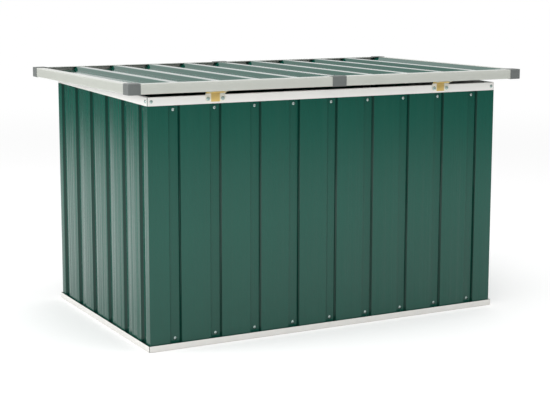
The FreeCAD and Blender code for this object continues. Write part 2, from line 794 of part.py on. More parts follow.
# Bracket on a rear corner post, with the strut's lower stud
def strut_lower_bracket(end):
    body = new_body(f"strut_lower_bracket_{end}")
    half_y, half_z = "bracket_width / 2", "bracket_height / 2"
    plate = [
        (f"-{half_y}", f"-{half_z}"), (half_y, f"-{half_z}"), (half_y, half_z), (f"-{half_y}", half_z)
    ]
    pad(body, outlines(body, "YZ_Plane", [plate], "post_face - bracket_sheet"), "bracket_sheet")
    shoulder = circles(body, "YZ_Plane", [("0", "0")], "shoulder_radius", "eye_side")
    pad(body, shoulder, "post_face - bracket_sheet - eye_side")
    stud(body, "-eye_side", "eye_side")
    place_at_strut(body, end, "box_pivot_y", "box_pivot_height")


# Bracket under a lid brace, with the strut's upper stud
def strut_upper_bracket(end):
    body = new_body(f"strut_upper_bracket_{end}")
    half = "bracket_width / 2"
    ear = [
        (f"-{half}", "pivot_drop"), (f"-{half}", "-ear_margin"), (half, "-ear_margin"), (half, "pivot_drop")
    ]
    pad(body, outlines(body, "YZ_Plane", [ear], "eye_side"), "bracket_sheet")
    foot_end = "eye_side + bracket_foot"
    foot = [("eye_side", f"-{half}"), (foot_end, f"-{half}"), (foot_end, half), ("eye_side", half)]
    pad(body, outlines(body, "XY_Plane", [foot], "pivot_drop - bracket_sheet"), "bracket_sheet")
    stud(body, "-eye_side", "eye_side")
    place_at_strut(body, end, "lid_pivot_y", "lid_pivot_height")


# Turned strut half with an eye at its own origin, drawn along +Y
def strut_half(label, section):
    body = new_body(label)
    revolve(body, outlines(body, "XY_Plane", [section]))
    centre = [("0", "0")]
    pad(body, circles(body, "YZ_Plane", centre, "eye_radius"), "eye_width", "Symmetric")
    cut_through(body, circles(body, "YZ_Plane", centre, "stud_radius + stud_gap"))
    return body


def strut_tube(end):
    gland = "rod_radius + rod_gap"
    section = [
        ("0", "neck_start"),
        ("neck_radius", "neck_start"),
        ("neck_radius", "tube_start"),
        ("tube_radius", "tube_start"),
        ("tube_radius", "tube_length"),
        (gland, "tube_length"),
        (gland, "tube_length - gland_length"),
        ("tube_bore", "tube_length - gland_length"),
        ("tube_bore", "tube_plug"),
        ("0", "tube_plug"),
    ]
    body = strut_half(f"strut_tube_{end}", section)
    place(body, f"{ends[end]} * strut_offset", "box_pivot_y", "box_pivot_height", 1, (1, 0, 0))
    body.setExpression("Placement.Rotation.Angle", bound("strut_angle"))


def strut_rod(end):
    piston = "tube_bore - piston_gap"
    section = [
        ("0", "neck_start"),
        ("neck_radius", "neck_start"),
        ("neck_radius", "collar_start"),
        ("collar_radius", "collar_start"),
        ("collar_radius", "collar_end"),
        ("rod_radius", "collar_end"),
        ("rod_radius", "rod_length - piston_length"),
        (piston, "rod_length - piston_length"),
        (piston, "rod_length"),
        ("0", "rod_length"),
    ]
    body = strut_half(f"strut_rod_{end}", section)
    place(body, f"{ends[end]} * strut_offset", "lid_pivot_y", "lid_pivot_height", 1, (1, 0, 0))
    body.setExpression("Placement.Rotation.Angle", bound("strut_angle + 180 deg"))


for side in sides:
    base_rail(side)
    top_rail(side)
    wall_screws(side)
for corner in corners:
    corner_post(corner)
    corner_cap(corner)
for side in ("left", "right"):
    wall_sheet(side)
    lid_rail(side)
for side in long_sides:
    joint_cover(side)
for end in ends:
    for side in long_sides:
        wall_sheet(side, end)
        lid_rail(side, end)
    floor_half(end)
    lid_sheet(end)
    lid_brace(f"lid_brace_{end}", f"{ends[end]} * side_brace_offset")
    hinge_lower_leaf(end)
    hinge_upper_leaf(end)
    hinge_pin(end)
    strut_lower_bracket(end)
    strut_upper_bracket(end)
    strut_tube(end)
    strut_rod(end)
lid_brace("lid_brace_centre", "0")
floor_joists()
corner_screws()
hinge_screws()
lid_pads()
document.recompute()

for item in document.Objects:
    if "Invalid" in item.State or "Error" in item.State:
        raise RuntimeError(f"{item.Label} failed: {item.State}")
for piece in sub_parts:
    if piece.Shape.isNull() or not piece.Shape.isValid():
        raise RuntimeError(f"{piece.Label} has no valid shape")

os.makedirs("parts", exist_ok=True)
for piece in sub_parts:
    piece.Shape.exportStep(f"parts/{piece.Label}.step")

print("sub-parts", len(sub_parts))
for name in ("hinge_y", "axis_height", "strut_offset", "strut_angle", "strut_arm"):
    print(name, round(value(name), 4))
for name in ("lid_pivot_y", "lid_pivot_height", "box_pivot_y", "box_pivot_height"):
    print(name, round(value(name), 4))
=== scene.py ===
import json
import math

import bmesh
import bpy
from mathutils import Matrix, Vector

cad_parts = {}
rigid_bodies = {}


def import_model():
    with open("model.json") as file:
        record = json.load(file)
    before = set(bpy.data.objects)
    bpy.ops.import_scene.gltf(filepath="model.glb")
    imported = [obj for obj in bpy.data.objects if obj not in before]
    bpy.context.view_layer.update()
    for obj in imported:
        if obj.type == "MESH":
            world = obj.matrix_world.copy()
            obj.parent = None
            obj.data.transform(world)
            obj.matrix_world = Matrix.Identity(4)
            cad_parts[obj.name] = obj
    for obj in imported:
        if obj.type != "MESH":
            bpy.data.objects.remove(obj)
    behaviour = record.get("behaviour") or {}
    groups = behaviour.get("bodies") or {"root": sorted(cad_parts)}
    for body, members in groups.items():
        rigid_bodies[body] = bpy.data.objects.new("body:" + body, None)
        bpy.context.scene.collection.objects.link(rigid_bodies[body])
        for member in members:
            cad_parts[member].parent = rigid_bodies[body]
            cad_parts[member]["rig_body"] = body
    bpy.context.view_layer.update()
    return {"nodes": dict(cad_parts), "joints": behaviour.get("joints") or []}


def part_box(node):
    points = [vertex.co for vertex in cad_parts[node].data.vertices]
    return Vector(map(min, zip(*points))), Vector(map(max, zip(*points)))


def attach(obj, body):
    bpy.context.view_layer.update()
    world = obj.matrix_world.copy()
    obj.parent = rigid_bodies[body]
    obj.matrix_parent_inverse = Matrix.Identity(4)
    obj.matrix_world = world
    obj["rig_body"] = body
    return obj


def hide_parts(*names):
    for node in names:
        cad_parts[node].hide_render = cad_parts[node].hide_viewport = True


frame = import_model()
print("frame loaded:", len(frame["nodes"]), "nodes")

sides = {"rear": 0, "right": 90, "front": 180, "left": 270}  # turn about Z, with -Y facing out
longSides = ("rear", "front")
shortSides = ("left", "right")
ends = {"left": -1, "right": 1}
corners = {  # turn about Z, way along X, way along Y
    "rear_left": (0, -1, -1), "rear_right": (90, 1, -1),
    "front_right": (180, 1, 1), "front_left": (270, -1, 1),
}
railLow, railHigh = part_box("top_rail_rear")
body = {
    "halfLength": railHigh.x, "halfDepth": -railLow.y, "rearTop": railHigh.z,
    "frontTop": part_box("top_rail_front")[1].z,
}
climbRate = (body["frontTop"] - body["rearTop"]) / (2 * body["halfDepth"])
climbs = {"rear": 0.0, "right": climbRate, "front": 0.0, "left": -climbRate}  # along each side's own X
capLow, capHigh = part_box("corner_cap_rear_left")
lidRailLow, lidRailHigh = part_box("lid_rail_left")
lid = {
    "halfLength": -capLow.x, "halfDepth": -capLow.y, "bottom": capLow.z, "top": capHigh.z,
    "railHalfLength": -lidRailLow.x, "railHalfDepth": lidRailHigh.y,
    "railBottom": lidRailLow.z, "railTop": lidRailHigh.z,
}
jointAt = {joint["name"]: Vector(joint["pos_m"]) for joint in frame["joints"]}


# node tree helpers
def addNode(tree, kind, **settings):
    node = tree.nodes.new(kind)
    for name, value in settings.items():
        setattr(node, name, value)
    return node


def feed(tree, target, value):  # a socket is linked, anything else is set
    if isinstance(value, bpy.types.NodeSocket):
        tree.links.new(value, target)
    else:
        target.default_value = value


def calc(tree, operation, *values):
    node = addNode(tree, "ShaderNodeMath", operation=operation)
    for i, value in enumerate(values):
        feed(tree, node.inputs[i], value)
    return node.outputs[0]


def remap(tree, value, given=(0.0, 1.0), wanted=(0.0, 1.0), **settings):
    node = addNode(tree, "ShaderNodeMapRange", **settings)
    feed(tree, node.inputs["Value"], value)
    for label, level in zip(("From Min", "From Max", "To Min", "To Max"), (*given, *wanted)):
        feed(tree, node.inputs[label], level)
    return node.outputs["Result"]


def addNoise(tree, vector, scale, detail):
    node = addNode(tree, "ShaderNodeTexNoise")
    feed(tree, node.inputs["Vector"], vector)
    feed(tree, node.inputs["Scale"], scale)
    feed(tree, node.inputs["Detail"], detail)
    return node.outputs[0]


def newTree(name, kind, inputs, outputs):
    tree = bpy.data.node_groups.new(name, kind)
    for label, socket in inputs:
        tree.interface.new_socket(label, in_out="INPUT", socket_type=socket)
    for label, socket in outputs:
        tree.interface.new_socket(label, in_out="OUTPUT", socket_type=socket)
    return tree, addNode(tree, "NodeGroupInput").outputs, addNode(tree, "NodeGroupOutput").inputs


# shader groups that several finishes share
streakNoise = {"Streak": {"scale": 1.0, "detail": 4.0}, "Wave": {"scale": 0.12, "detail": 1.0}}


def rolledStreaksGroup():
    tree, given, out = newTree(
        "rolledStreaks", "ShaderNodeTree",
        [("Vector", "NodeSocketVector"), ("Stretch", "NodeSocketVector")],
        [("Streak", "NodeSocketFloat"), ("Wave", "NodeSocketFloat")],
    )
    stretched = addNode(tree, "ShaderNodeVectorMath", operation="MULTIPLY")
    feed(tree, stretched.inputs[0], given["Vector"])
    feed(tree, stretched.inputs[1], given["Stretch"])
    for name, noise in streakNoise.items():
        feed(tree, out[name], addNoise(tree, stretched.outputs[0], noise["scale"], noise["detail"]))
    return tree


grainNoise = {"detail": 2.0, "mottleShare": 0.012}  # the mottle is far coarser than the grain


def paintGrainGroup():
    tree, given, out = newTree(
        "paintGrain", "ShaderNodeTree",
        [("Vector", "NodeSocketVector"), ("Density", "NodeSocketFloat")],
        [("Grain", "NodeSocketFloat"), ("Mottle", "NodeSocketFloat")],
    )
    coarse = calc(tree, "MULTIPLY", given["Density"], grainNoise["mottleShare"])
    for name, scale in (("Grain", given["Density"]), ("Mottle", coarse)):
        feed(tree, out[name], addNoise(tree, given["Vector"], scale, grainNoise["detail"]))
    return tree


groundShadeNoise = {"scale": 24.0, "detail": 5.0, "patches": (0.7, 1.3)}


# painted shade: 1 at the ground, falling to 0 at Reach, in noisy patches
def paintedGroundShadeGroup():
    tree, given, out = newTree(
        "groundDust", "ShaderNodeTree",
        [("Vector", "NodeSocketVector"), ("Reach", "NodeSocketFloat")],
        [("Dust", "NodeSocketFloat")],
    )
    apart = addNode(tree, "ShaderNodeSeparateXYZ")
    feed(tree, apart.inputs[0], given["Vector"])
    low = calc(tree, "SUBTRACT", 1.0, calc(tree, "DIVIDE", apart.outputs["Z"], given["Reach"]))
    noise = addNoise(tree, given["Vector"], groundShadeNoise["scale"], groundShadeNoise["detail"])
    patchy = remap(tree, noise, wanted=groundShadeNoise["patches"])
    feed(tree, out["Dust"], calc(tree, "MULTIPLY", calc(tree, "MAXIMUM", low, 0.0), patchy))
    return tree


rolledStreaks = rolledStreaksGroup()
paintGrain = paintGrainGroup()
groundDust = paintedGroundShadeGroup()


# finishes
def newFinish(name, **constants):
    finish = bpy.data.materials.new(name)
    finish.use_nodes = True
    tree = finish.node_tree
    shader = tree.nodes["Principled BSDF"]
    for label, value in constants.items():
        shader.inputs[label.replace("_", " ")].default_value = value
    place = addNode(tree, "ShaderNodeTexCoord").outputs["Object"]
    return finish, tree, shader.inputs, place


def useGroup(tree, group, **inputs):
    node = addNode(tree, "ShaderNodeGroup", node_tree=group)
    for label, value in inputs.items():
        feed(tree, node.inputs[label], value)
    return node.outputs


def blendColour(tree, factor, first, second):
    node = addNode(tree, "ShaderNodeMix", data_type="RGBA")
    feed(tree, node.inputs["Factor"], factor)
    feed(tree, node.inputs["A"], first)
    feed(tree, node.inputs["B"], second)
    return [socket for socket in node.outputs if socket.type == "RGBA"][0]


def bump(tree, height, distance):
    node = addNode(tree, "ShaderNodeBump")
    node.inputs["Distance"].default_value = distance
    feed(tree, node.inputs["Height"], height)
    return node.outputs["Normal"]


greenPaint = {
    "crest": (0.0045, 0.069, 0.048, 1), "crestPale": (0.0060, 0.079, 0.056, 1),
    # fold is a painted shade colour for the corrugation's steps; floorShade and stepShade set how much of it
    "fold": (0.0006, 0.026, 0.018, 1), "floorShade": 0.02,
    "stepShade": 0.92, "stepWidth": 0.9, "stepEdge": 6.0,
    # painted shade: a darker green that the walls turn towards the ground, with its reach and share
    "dust": (0.0050, 0.022, 0.016, 1), "dustReach": 0.42, "dustShare": 0.34,
    "streakShare": 0.8, "grain": 900.0, "grainDepth": 0.000014,
}
greenSheets = {
    "greenWall": {
        "stretch": (32.0, 32.0, 0.5), "waveDepth": 0.006, "rough": (0.11, 0.22), "ior": 1.42, "folds": True,
    },
    "greenLid": {
        "stretch": (45.0, 0.9, 45.0), "waveDepth": 0.002, "rough": (0.05, 0.12), "ior": 1.5, "folds": False,
    },
}


def paintedFoldShade(tree):  # painted shade: dark on the steps between crests and valleys, and slightly on the valley floors
    depth = addNode(tree, "ShaderNodeAttribute", attribute_name="foldDepth").outputs["Fac"]
    fromMiddle = calc(tree, "ABSOLUTE", calc(tree, "SUBTRACT", calc(tree, "MULTIPLY", depth, 2.0), 1.0))
    onStep = calc(tree, "SUBTRACT", greenPaint["stepWidth"], fromMiddle)
    step = calc(tree, "MULTIPLY", onStep, greenPaint["stepEdge"])
    floor = calc(tree, "MULTIPLY", depth, greenPaint["floorShade"])
    return calc(tree, "MINIMUM", calc(tree, "MAXIMUM", floor, step), greenPaint["stepShade"])


def greenSheet(name):
    sheet = greenSheets[name]
    finish, tree, shader, place = newFinish(name, IOR=sheet["ior"])
    streaks = useGroup(tree, rolledStreaks, Vector=place, Stretch=sheet["stretch"])
    grain = useGroup(tree, paintGrain, Vector=place, Density=greenPaint["grain"])
    dust = useGroup(tree, groundDust, Vector=place, Reach=greenPaint["dustReach"])
    colour = blendColour(tree, streaks["Wave"], greenPaint["crest"], greenPaint["crestPale"])
    # the walls get painted shade in their folds, the lid does not
    if sheet["folds"]:
        colour = blendColour(tree, paintedFoldShade(tree), colour, greenPaint["fold"])
    # painted shade towards the ground
    groundShaded = calc(tree, "MULTIPLY", dust["Dust"], greenPaint["dustShare"])
    feed(tree, shader["Base Color"], blendColour(tree, groundShaded, colour, greenPaint["dust"]))
    feed(tree, shader["Roughness"], remap(tree, streaks["Streak"], wanted=sheet["rough"]))
    waves = calc(tree, "MULTIPLY_ADD", streaks["Streak"], greenPaint["streakShare"], streaks["Wave"])
    fine = calc(tree, "MULTIPLY", grain["Grain"], greenPaint["grainDepth"] / sheet["waveDepth"])
    feed(tree, shader["Normal"], bump(tree, calc(tree, "ADD", waves, fine), sheet["waveDepth"]))
    return finish


railPaint = {
    "ior": 1.5, "stretch": (3.0, 3.0, 40.0), "waveDepth": 0.0004, "grain": 1100.0, "grainShare": 0.03,
    # painted shade: a grey that darkens the foot of the base rails
    "dust": (0.42, 0.41, 0.38, 1), "dustReach": 0.06, "dustShare": 0.50,
}
railPaints = {
    "whiteRail": {"pale": (0.80, 0.79, 0.765, 1), "deep": (0.75, 0.74, 0.715, 1), "rough": (0.30, 0.42)},
    "lidRail": {"pale": (0.48, 0.495, 0.455, 1), "deep": (0.43, 0.445, 0.405, 1), "rough": (0.12, 0.22)},
}


def paintedRail(name):
    paint = railPaints[name]
    finish, tree, shader, place = newFinish(name, IOR=railPaint["ior"])
    streaks = useGroup(tree, rolledStreaks, Vector=place, Stretch=railPaint["stretch"])
    grain = useGroup(tree, paintGrain, Vector=place, Density=railPaint["grain"])
    dust = useGroup(tree, groundDust, Vector=place, Reach=railPaint["dustReach"])
    colour = blendColour(tree, grain["Mottle"], paint["pale"], paint["deep"])
    # painted shade towards the ground
    groundShaded = calc(tree, "MULTIPLY", dust["Dust"], railPaint["dustShare"])
    feed(tree, shader["Base Color"], blendColour(tree, groundShaded, colour, railPaint["dust"]))
    feed(tree, shader["Roughness"], remap(tree, streaks["Streak"], wanted=paint["rough"]))
    fine = calc(tree, "MULTIPLY", grain["Grain"], railPaint["grainShare"])
    height = calc(tree, "ADD", streaks["Wave"], fine)
    feed(tree, shader["Normal"], bump(tree, height, railPaint["waveDepth"]))
    return finish


coats = {
    "greyPlastic": {
        "ground": (0.105, 0.115, 0.112, 1), "mottle": (0.124, 0.135, 0.131, 1), "rough": (0.42, 0.58),
        "grain": 1500.0, "grainDepth": 0.00012, "ior": 1.46,
    },
    "padRubber": {
        "ground": (0.030, 0.030, 0.031, 1), "mottle": (0.018, 0.018, 0.019, 1), "rough": (0.62, 0.80),
        "grain": 1400.0, "grainDepth": 0.00008, "ior": 1.5,
    },
    "strutBlack": {
        "ground": (0.022, 0.022, 0.024, 1), "mottle": (0.014, 0.014, 0.015, 1), "rough": (0.24, 0.38),
        "grain": 1400.0, "grainDepth": 0.00008, "ior": 1.5,
    },
}


def grainedCoat(name):
    coat = coats[name]
    finish, tree, shader, place = newFinish(name, IOR=coat["ior"])
    grain = useGroup(tree, paintGrain, Vector=place, Density=coat["grain"])
    feed(tree, shader["Base Color"], blendColour(tree, grain["Mottle"], coat["ground"], coat["mottle"]))
    feed(tree, shader["Roughness"], remap(tree, grain["Grain"], wanted=coat["rough"]))
    feed(tree, shader["Normal"], bump(tree, grain["Grain"], coat["grainDepth"]))
    return finish


plating = {"mottle": (-0.2, 1.0), "grainDepth": 0.00006}
metals = {
    "hingeBrass": {
        "pale": (0.66, 0.49, 0.19, 1), "deep": (0.50, 0.35, 0.11, 1), "rough": (0.28, 0.46), "grain": 420.0,
        "worn": (0.74, 0.73, 0.64, 1), "middle": 0.470,  # the hinges' offset along X
        "yellowHalf": (0.015, 0.019), "wornBelow": (0.886, 0.883),  # from the middle, and in height
    },
    "screwSteel": {
        "pale": (0.45, 0.56, 0.53, 1), "deep": (0.27, 0.34, 0.325, 1), "rough": (0.14, 0.28), "grain": 700.0,
    },
    "rodChrome": {
        "pale": (0.80, 0.81, 0.82, 1), "deep": (0.70, 0.71, 0.73, 1), "rough": (0.06, 0.16), "grain": 500.0,
    },
}


def wornEnds(tree, place, metal):  # 1 under the barrel at a hinge's ends, where the yellow is worn off
    apart = addNode(tree, "ShaderNodeSeparateXYZ")
    feed(tree, apart.inputs[0], place)
    fromMiddle = calc(tree, "SUBTRACT", calc(tree, "ABSOLUTE", apart.outputs["X"]), metal["middle"])
    outside = remap(tree, calc(tree, "ABSOLUTE", fromMiddle), given=metal["yellowHalf"])
    return calc(tree, "MULTIPLY", outside, remap(tree, apart.outputs["Z"], given=metal["wornBelow"]))


def platedMetal(name):
    metal = metals[name]
    finish, tree, shader, place = newFinish(name, Metallic=1.0)
    grain = useGroup(tree, paintGrain, Vector=place, Density=metal["grain"])
    mottle = remap(tree, grain["Mottle"], wanted=plating["mottle"])
    colour = blendColour(tree, mottle, metal["pale"], metal["deep"])
    if "worn" in metal:
        colour = blendColour(tree, wornEnds(tree, place, metal), colour, metal["worn"])
    feed(tree, shader["Base Color"], colour)
    feed(tree, shader["Roughness"], remap(tree, grain["Grain"], wanted=metal["rough"]))
    feed(tree, shader["Normal"], bump(tree, grain["Grain"], plating["grainDepth"]))
    return finish


galvanised = {
    "metallic": 0.9, "spangle": 95.0, "spangleDeep": (0.50, 0.52, 0.53, 1),
    "spanglePale": (0.64, 0.66, 0.67, 1), "mottle": (0.55, 0.56, 0.56, 1), "rough": (0.30, 0.52),
    "grain": 600.0, "grainDepth": 0.00005,
}


def galvanisedSteel():
    finish, tree, shader, place = newFinish("galvanisedSteel", Metallic=galvanised["metallic"])
    spangle = addNode(tree, "ShaderNodeTexVoronoi")
    feed(tree, spangle.inputs["Vector"], place)
    feed(tree, spangle.inputs["Scale"], galvanised["spangle"])
    tone = addNode(tree, "ShaderNodeSeparateColor")
    feed(tree, tone.inputs[0], spangle.outputs["Color"])
    grain = useGroup(tree, paintGrain, Vector=place, Density=galvanised["grain"])
    colour = blendColour(tree, tone.outputs[0], galvanised["spangleDeep"], galvanised["spanglePale"])
    feed(tree, shader["Base Color"], blendColour(tree, grain["Mottle"], colour, galvanised["mottle"]))
    feed(tree, shader["Roughness"], remap(tree, tone.outputs[1], wanted=galvanised["rough"]))
    feed(tree, shader["Normal"], bump(tree, grain["Grain"], galvanised["grainDepth"]))
    return finish


finishes = {
    "greenWall": greenSheet("greenWall"),
    "greenLid": greenSheet("greenLid"),
    "whiteRail": paintedRail("whiteRail"),
    "lidRail": paintedRail("lidRail"),
    "greyPlastic": grainedCoat("greyPlastic"),
    "hingeBrass": platedMetal("hingeBrass"),
    "screwSteel": platedMetal("screwSteel"),
    "galvanisedSteel": galvanisedSteel(),
    "padRubber": grainedCoat("padRubber"),
    "strutBlack": grainedCoat("strutBlack"),
    "rodChrome": platedMetal("rodChrome"),
}
print("finishes made:", len(finishes))


# geometry node trees
def endTree(tree, geometry, finish, out):
    whole = addNode(tree, "GeometryNodeRealizeInstances")
    feed(tree, whole.inputs["Geometry"], geometry)
    coated = addNode(tree, "GeometryNodeSetMaterial")
    feed(tree, coated.inputs["Geometry"], whole.outputs["Geometry"])
    feed(tree, coated.inputs["Material"], finish)
    feed(tree, out["Geometry"], coated.outputs["Geometry"])


def foldedSheetTree():
    tree, given, out = newTree(
        "foldedSheet", "GeometryNodeTree",
        [
            ("Geometry", "NodeSocketGeometry"), ("Bend Radius", "NodeSocketFloat"),
            ("Bend Steps", "NodeSocketInt"), ("Length", "NodeSocketFloat"),
            ("Mitre Near", "NodeSocketFloat"), ("Mitre Far", "NodeSocketFloat"),
            ("Fold Base", "NodeSocketFloat"), ("Fold Height", "NodeSocketFloat"),
            ("Finish", "NodeSocketMaterial"),
        ],
        [("Geometry", "NodeSocketGeometry")],
    )
    line = addNode(tree, "GeometryNodeMeshToCurve")
    feed(tree, line.inputs["Mesh"], given["Geometry"])
    bends = addNode(tree, "GeometryNodeFilletCurve", mode="POLY")  # rounds each bend of the section
    feed(tree, bends.inputs["Curve"], line.outputs["Curve"])
    feed(tree, bends.inputs["Count"], given["Bend Steps"])
    feed(tree, bends.inputs["Radius"], given["Bend Radius"])
    feed(tree, bends.inputs["Limit Radius"], True)
    section = addNode(tree, "GeometryNodeCurveToMesh")
    feed(tree, section.inputs["Curve"], bends.outputs["Curve"])
    along = addNode(tree, "ShaderNodeCombineXYZ")
    feed(tree, along.inputs["Z"], given["Length"])
    drawn = addNode(tree, "GeometryNodeExtrudeMesh", mode="EDGES")
    feed(tree, drawn.inputs["Mesh"], section.outputs["Mesh"])
    feed(tree, drawn.inputs["Offset"], along.outputs[0])
    feed(tree, drawn.inputs["Offset Scale"], 1.0)
    where = addNode(tree, "ShaderNodeSeparateXYZ")
    feed(tree, where.inputs[0], addNode(tree, "GeometryNodeInputPosition").outputs[0])
    across, height, reach = where.outputs
    isFar = calc(tree, "GREATER_THAN", reach, 0.0)
    farCut = calc(tree, "MULTIPLY", isFar, given["Mitre Far"])
    nearCut = calc(tree, "MULTIPLY", calc(tree, "SUBTRACT", 1.0, isFar), given["Mitre Near"])
    slope = calc(tree, "SUBTRACT", nearCut, farCut)
    shift = addNode(tree, "ShaderNodeCombineXYZ")
    feed(tree, shift.inputs["Z"], calc(tree, "MULTIPLY", across, slope))
    cut = addNode(tree, "GeometryNodeSetPosition")  # mitred ends
    feed(tree, cut.inputs["Geometry"], drawn.outputs["Mesh"])
    feed(tree, cut.inputs["Offset"], shift.outputs[0])
    fromBase = calc(tree, "SUBTRACT", height, given["Fold Base"])
    marked = addNode(tree, "GeometryNodeStoreNamedAttribute", data_type="FLOAT", domain="POINT")
    feed(tree, marked.inputs["Geometry"], cut.outputs["Geometry"])
    feed(tree, marked.inputs["Name"], "foldDepth")
    feed(tree, marked.inputs["Value"], calc(tree, "DIVIDE", fromBase, given["Fold Height"]))
    endTree(tree, marked.outputs["Geometry"], given["Finish"], out)
    return tree


def screwRowsTree():
    tree, given, out = newTree(
        "screwRows", "GeometryNodeTree",
        [
            ("Geometry", "NodeSocketGeometry"), ("Screw", "NodeSocketObject"),
            ("Facing", "NodeSocketVector"), ("Seed", "NodeSocketInt"), ("Finish", "NodeSocketMaterial"),
        ],
        [("Geometry", "NodeSocketGeometry")],
    )
    screw = addNode(tree, "GeometryNodeObjectInfo")
    feed(tree, screw.inputs["Object"], given["Screw"])
    feed(tree, screw.inputs["As Instance"], True)
    upright = addNode(tree, "FunctionNodeAlignRotationToVector", axis="Z")
    feed(tree, upright.inputs["Vector"], given["Facing"])
    spin = addNode(tree, "FunctionNodeRandomValue", data_type="FLOAT")  # each slot stops at its own angle
    spin.inputs[2].default_value = 0.0
    spin.inputs[3].default_value = math.tau
    feed(tree, spin.inputs["Seed"], given["Seed"])
    turn = addNode(tree, "FunctionNodeAxisAngleToRotation")
    feed(tree, turn.inputs["Axis"], (0.0, 0.0, 1.0))
    feed(tree, turn.inputs["Angle"], spin.outputs[1])
    turned = addNode(tree, "FunctionNodeRotateRotation", rotation_space="LOCAL")
    feed(tree, turned.inputs["Rotation"], upright.outputs["Rotation"])
    feed(tree, turned.inputs["Rotate By"], turn.outputs["Rotation"])
    spots = addNode(tree, "GeometryNodeInstanceOnPoints")
    feed(tree, spots.inputs["Points"], given["Geometry"])
    feed(tree, spots.inputs["Instance"], screw.outputs["Geometry"])
    feed(tree, spots.inputs["Rotation"], turned.outputs["Rotation"])
    endTree(tree, spots.outputs["Instances"], given["Finish"], out)
    return tree


sheetTree = foldedSheetTree()
screwTree = screwRowsTree()


# piece helpers
smoothAngle = math.radians(32)  # sharper edges stay sharp


def newObject(name, mesh):
    piece = bpy.data.objects.new(name, mesh)
    bpy.context.scene.collection.objects.link(piece)
    return piece


def growNodes(piece, tree, inputs):
    modifier = piece.modifiers.new("nodes", "NODES")
    modifier.node_group = tree
    names = {item.name: item.identifier for item in tree.interface.items_tree if item.in_out == "INPUT"}
    for label, value in inputs.items():
        modifier[names[label]] = value


def thicken(piece, thickness, offset):
    wall = piece.modifiers.new("thickness", "SOLIDIFY")
    wall.thickness = thickness
    wall.offset = offset
    wall.use_even_offset = True


def soften(piece, width, segments, angle):
    edge = piece.modifiers.new("edge", "BEVEL")
    edge.width = width
    edge.segments = segments
    edge.angle_limit = math.radians(angle)


def settle(piece, matrix=None):  # turns the modifiers' result into the piece's own mesh
    graph = bpy.context.evaluated_depsgraph_get()
    shaped = piece.evaluated_get(graph)
    mesh = bpy.data.meshes.new_from_object(shaped, preserve_all_data_layers=True, depsgraph=graph)
    if matrix is not None:
        mesh.transform(matrix)
    piece.modifiers.clear()
    raw = piece.data
    piece.data = mesh
    bpy.data.meshes.remove(raw)
    mesh.shade_smooth()
    mesh.set_sharp_from_angle(angle=smoothAngle)
    return piece


def hand(piece, node):  # gives a finished piece to its CAD body
    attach(piece, frame["nodes"][node]["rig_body"])
    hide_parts(node)


def camel(node):
    first, *rest = node.split("_")
    return first + "".join(word.capitalize() for word in rest)


def meshOf(form, name):
    mesh = bpy.data.meshes.new(name)
    form.to_mesh(mesh)
    form.free()
    return mesh


def roundEdges(form, edges, offset, segments):
    bmesh.ops.bevel(
        form, geom=edges, offset=offset, segments=segments, profile=0.5, affect="EDGES", clamp_overlap=True
    )


alongX = Matrix(((0, 0, 1, 0), (1, 0, 0, 0), (0, 1, 0, 0), (0, 0, 0, 1)))  # section in Y and Z
alongY = Matrix(((1, 0, 0, 0), (0, 0, -1, 0), (0, 1, 0, 0), (0, 0, 0, 1)))  # section in X and Z


def turnZ(degrees):
    return Matrix.Rotation(math.radians(degrees), 4, "Z")


def onSide(side, half):
    return turnZ(sides[side]) @ Matrix.Translation((0, -half, 0))


def foldSheet(node, section, length, spec, finishName, matrix, mitre=(0.0, 0.0), fold=(0.0, 1.0)):
    mesh = bpy.data.meshes.new(node)
    steps = [(i, i + 1) for i in range(len(section) - 1)]
    mesh.from_pydata([(u, v, -length / 2) for u, v in section], steps, [])
    piece = newObject(camel(node), mesh)
    growNodes(piece, sheetTree, {
        "Bend Radius": spec["bendRadius"], "Bend Steps": spec["bendSteps"], "Length": length,
        "Mitre Near": mitre[0], "Mitre Far": mitre[1], "Fold Base": fold[0], "Fold Height": fold[1],
        "Finish": finishes[finishName],
    })
    thicken(piece, spec["sheet"], 0.0)
    if "edge" in spec:
        soften(piece, spec["edge"], spec["edgeSteps"], spec["edgeAngle"])
    hand(settle(piece, matrix), node)


def topOf(side):  # height of a side's top at its middle
    middle = (body["rearTop"] + body["frontTop"]) / 2
    return {"rear": body["rearTop"], "front": body["frontTop"]}.get(side, middle)


def climbing(side):
    return Matrix(((1, 0, 0, 0), (0, 1, 0, 0), (climbs[side], 0, 1, 0), (0, 0, 0, 1)))


def sideHalf(side):
    return body["halfDepth"] if side in longSides else body["halfLength"]


def sideLength(side):
    return 2 * (body["halfLength"] if side in longSides else body["halfDepth"])


def evenly(count, pitch):
    return [(i - (count - 1) / 2) * pitch for i in range(count)]


# folded rails round the top and the foot of the walls
bothMitred = (1.0, 1.0)
rails = {
    "sheet": 0.001, "width": 0.014, "topFace": 0.030, "topInner": 0.058, "baseFace": 0.022,
    "baseInner": 0.050, "ledge": 0.006, "bendRadius": 0.0018, "bendSteps": 5, "mitreGap": 0.0036,
}


def boxRails():
    half = rails["sheet"] / 2
    inside = rails["width"] - half
    outside = half - rails["ledge"]
    baseSection = [
        (outside, rails["baseFace"]), (outside, half), (inside, half), (inside, rails["baseInner"]),
    ]
    for side in sides:
        top = topOf(side) - half
        low, inner = topOf(side) - rails["topFace"], topOf(side) - rails["topInner"]
        topSection = [(half, low), (half, top), (inside, top), (inside, inner)]
        place = onSide(side, sideHalf(side))
        sloped = place @ climbing(side) @ alongX
        length = sideLength(side) - rails["mitreGap"]
        foldSheet(f"top_rail_{side}", topSection, length, rails, "whiteRail", sloped, bothMitred)
        foldSheet(f"base_rail_{side}", baseSection, length, rails, "whiteRail", place @ alongX, bothMitred)


boxRails()
print("box rails made")

